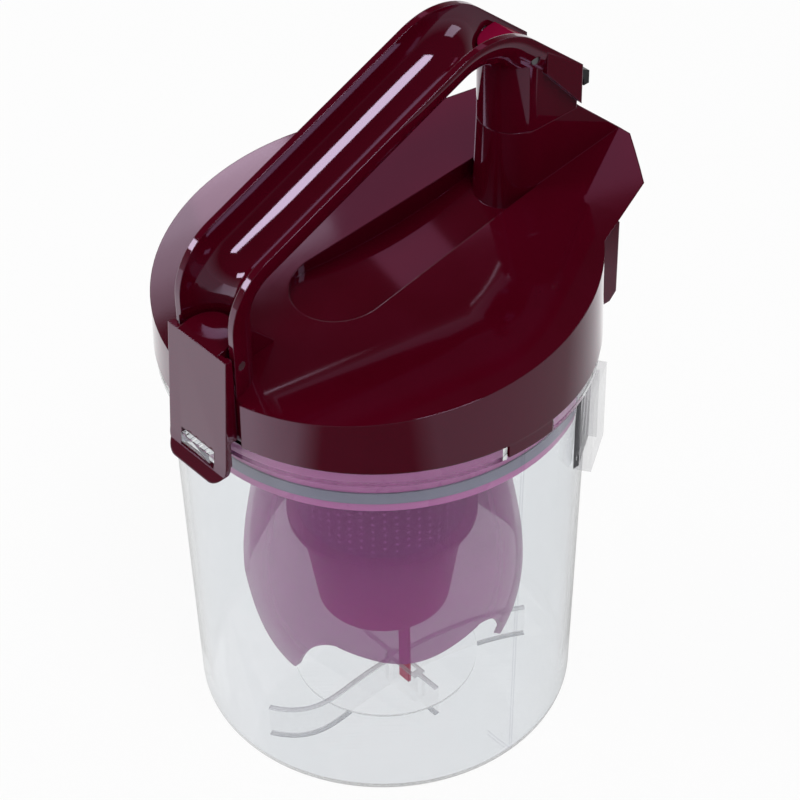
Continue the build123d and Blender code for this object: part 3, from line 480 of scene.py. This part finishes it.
def floor_material():
    """A white floor that takes a faint shadow; for gloss it glows with painted light and shade: lighter at
    the left, darker in front, at the right and close round the object.
    """
    material = bpy.data.materials.new("white floor")
    material.use_nodes = True
    tree = material.node_tree
    tree.nodes.clear()
    out = add_node(tree, "ShaderNodeOutputMaterial", (900, 0))
    paint = add_node(tree, "ShaderNodeBsdfDiffuse", (300, -150))
    paint.inputs["Color"].default_value = (0.85, 0.85, 0.85, 1)
    glow = add_node(tree, "ShaderNodeEmission", (300, 100))
    path = add_node(tree, "ShaderNodeLightPath", (-700, 400))
    seen = ray_mask(tree, path, ("Is Camera Ray", "Is Transmission Ray", "Is Glossy Ray"), (-450, 400))
    share = add_node(tree, "ShaderNodeMath", (300, 350), operation="MULTIPLY")
    share.inputs[1].default_value = 0.92
    pick = add_node(tree, "ShaderNodeMixShader", (650, 0))
    spot = add_node(tree, "ShaderNodeTexCoord", (-700, -50))
    # Painted shade for gloss only: dark ovals in front and at the right, light falling off from left to
    # right, and darker close round the object.
    front = painted_shade_patch(tree, spot, centre=(0.18, -0.19), turn=45, reach=(0.13, 0.2), place=(-500, -50))
    right = painted_shade_patch(tree, spot, centre=(0.27, 0.3), turn=-45, reach=(0.16, 0.11), place=(-500, 600))
    shade_patches = add_node(tree, "ShaderNodeMath", (60, -50), operation="MULTIPLY")
    across = add_node(tree, "ShaderNodeSeparateXYZ", (-500, -300))
    painted_light_across = add_node(tree, "ShaderNodeMapRange", (-300, -300))
    set_inputs(painted_light_across, From_Min=-0.05, From_Max=0.15, To_Min=1.2, To_Max=0.3)
    level = add_node(tree, "ShaderNodeMath", (-20, -250), operation="MULTIPLY")
    reach = add_node(tree, "ShaderNodeVectorMath", (-500, -500), operation="LENGTH")
    painted_shade_near = add_node(tree, "ShaderNodeMapRange", (-300, -500))
    set_inputs(painted_shade_near, From_Min=0.16, From_Max=0.24, To_Min=0.62, To_Max=1.0)
    graded = add_node(tree, "ShaderNodeMath", (100, -300), operation="MULTIPLY")
    mirrored = add_node(tree, "ShaderNodeMath", (-120, 200), operation="SUBTRACT", use_clamp=True)
    only_gloss = add_node(tree, "ShaderNodeMix", (100, 100))
    set_inputs(only_gloss, A=1.0)
    join = tree.links.new
    join(front, shade_patches.inputs[0])
    join(right, shade_patches.inputs[1])
    join(path.outputs["Is Glossy Ray"], mirrored.inputs[0])
    join(path.outputs["Is Transmission Ray"], mirrored.inputs[1])
    join(mirrored.outputs["Value"], only_gloss.inputs["Factor"])
    join(spot.outputs["Object"], across.inputs["Vector"])
    join(across.outputs["X"], painted_light_across.inputs["Value"])
    join(shade_patches.outputs["Value"], level.inputs[0])
    join(painted_light_across.outputs["Result"], level.inputs[1])
    join(spot.outputs["Object"], reach.inputs[0])
    join(reach.outputs["Value"], painted_shade_near.inputs["Value"])
    join(level.outputs["Value"], graded.inputs[0])
    join(painted_shade_near.outputs["Result"], graded.inputs[1])
    join(graded.outputs["Value"], only_gloss.inputs["B"])
    join(only_gloss.outputs["Result"], glow.inputs["Strength"])
    join(seen, share.inputs[0])
    join(share.outputs["Value"], pick.inputs["Fac"])
    join(paint.outputs["BSDF"], pick.inputs[1])
    join(glow.outputs["Emission"], pick.inputs[2])
    join(pick.outputs["Shader"], out.inputs["Surface"])
    return material


floor_mesh = bpy.data.meshes.new("floor")
floor_mesh.from_pydata([(-6, -6, 0), (6, -6, 0), (6, 6, 0), (-6, 6, 0)], [], [(0, 1, 2, 3)])
floor_mesh.materials.append(floor_material())
floor = bpy.data.objects.new("floor", floor_mesh)
scene.collection.objects.link(floor)


def studio_world():
    """Even room light; gloss sees a pale lower room under a dark ceiling."""
    world = bpy.data.worlds.new("studio")
    world.use_nodes = True
    tree = world.node_tree
    tree.nodes.clear()
    out = add_node(tree, "ShaderNodeOutputWorld", (900, 0))
    room = add_node(tree, "ShaderNodeBackground", (300, -150))
    set_inputs(room, Color=(1, 1, 1, 1), Strength=0.55)
    plain = add_node(tree, "ShaderNodeBackground", (300, 50))
    gloss = add_node(tree, "ShaderNodeBackground", (300, -350))
    path = add_node(tree, "ShaderNodeLightPath", (-700, 400))
    seen = ray_mask(tree, path, ("Is Camera Ray", "Is Transmission Ray"), (-450, 400))
    way = add_node(tree, "ShaderNodeTexCoord", (-700, -300))
    split = add_node(tree, "ShaderNodeSeparateXYZ", (-500, -300))
    ceiling = add_node(tree, "ShaderNodeMapRange", (-250, -300))
    set_inputs(ceiling, From_Min=0.0, From_Max=0.45, To_Min=0.35, To_Max=0.02)
    first = add_node(tree, "ShaderNodeMixShader", (550, -200))
    second = add_node(tree, "ShaderNodeMixShader", (720, 0))
    join = tree.links.new
    join(way.outputs["Generated"], split.inputs["Vector"])
    join(split.outputs["Z"], ceiling.inputs["Value"])
    join(ceiling.outputs["Result"], gloss.inputs["Strength"])
    join(path.outputs["Is Glossy Ray"], first.inputs["Fac"])
    join(room.outputs["Background"], first.inputs[1])
    join(gloss.outputs["Background"], first.inputs[2])
    join(seen, second.inputs["Fac"])
    join(first.outputs["Shader"], second.inputs[1])
    join(plain.outputs["Background"], second.inputs[2])
    join(second.outputs["Shader"], out.inputs["Surface"])
    set_inputs(plain, Color=(1, 1, 1, 1), Strength=1.0)
    set_inputs(gloss, Color=(1, 1, 1, 1))
    return world


scene.world = studio_world()


def softbox(name, azimuth, elevation, distance, width, height, radiance, colour=(1, 1, 1)):
    """A rectangular soft lamp that faces the object, as bright as radiance times a white sheet."""
    lamp = bpy.data.lights.new(name, "AREA")
    lamp.shape = "RECTANGLE"
    lamp.size = width
    lamp.size_y = height
    lamp.energy = radiance * width * height * math.pi
    lamp.color = colour
    turn = math.radians(azimuth)
    rise = math.radians(elevation)
    way = Vector((math.cos(rise) * math.cos(turn), math.cos(rise) * math.sin(turn), math.sin(rise)))
    holder = bpy.data.objects.new(name, lamp)
    lit_point = Vector((0, 0, 180 * MM))
    holder.location = lit_point + distance * way
    holder.rotation_mode = "QUATERNION"
    holder.rotation_quaternion = (-way).to_track_quat("-Z", "Y")
    scene.collection.objects.link(holder)
    return holder


softbox("key softbox", azimuth=-15, elevation=65, distance=1.6, width=0.5, height=0.6, radiance=8.0)
softbox("front left softbox", azimuth=-132, elevation=30, distance=1.5, width=0.6, height=0.3, radiance=7.0)
softbox("right softbox", azimuth=60, elevation=25, distance=1.5, width=0.4, height=0.6, radiance=2.0)
softbox("back softbox", azimuth=146.5, elevation=43.0, distance=1.5, width=0.44, height=0.17, radiance=0.5,
        colour=(1.0, 0.4, 0.6))
back_left = {"azimuth": 161.4, "distance": 1.5, "width": 0.347}
softbox("back left softbox", elevation=35, height=0.366, radiance=3.4, **back_left)
softbox("back left softbox, lower edge", elevation=42.55, height=0.034, radiance=2.4, **back_left)
softbox("back left softbox, middle edge", elevation=43.8, height=0.0315, radiance=1.6, **back_left)
softbox("back left softbox, upper edge", elevation=44.9, height=0.026, radiance=1.0, **back_left)


# Camera, from the ellipses and edges of the photographed bin
eye = bpy.data.cameras.new("camera")
eye.sensor_width = 36.0
eye.lens = 117.0
eye.clip_end = 50.0
camera = bpy.data.objects.new("camera", eye)
scene.collection.objects.link(camera)
camera_place = Vector((514.4, -437.9, 705.5)) * MM
camera_aim = Vector((4.6, 5.2, 124.5)) * MM
camera_roll = -0.017
look = (camera_aim - camera_place).to_track_quat("-Z", "Y").to_matrix()
facing = look @ Matrix.Rotation(camera_roll, 3, "Z")
camera.matrix_world = Matrix.Translation(camera_place) @ facing.to_4x4()
scene.camera = camera
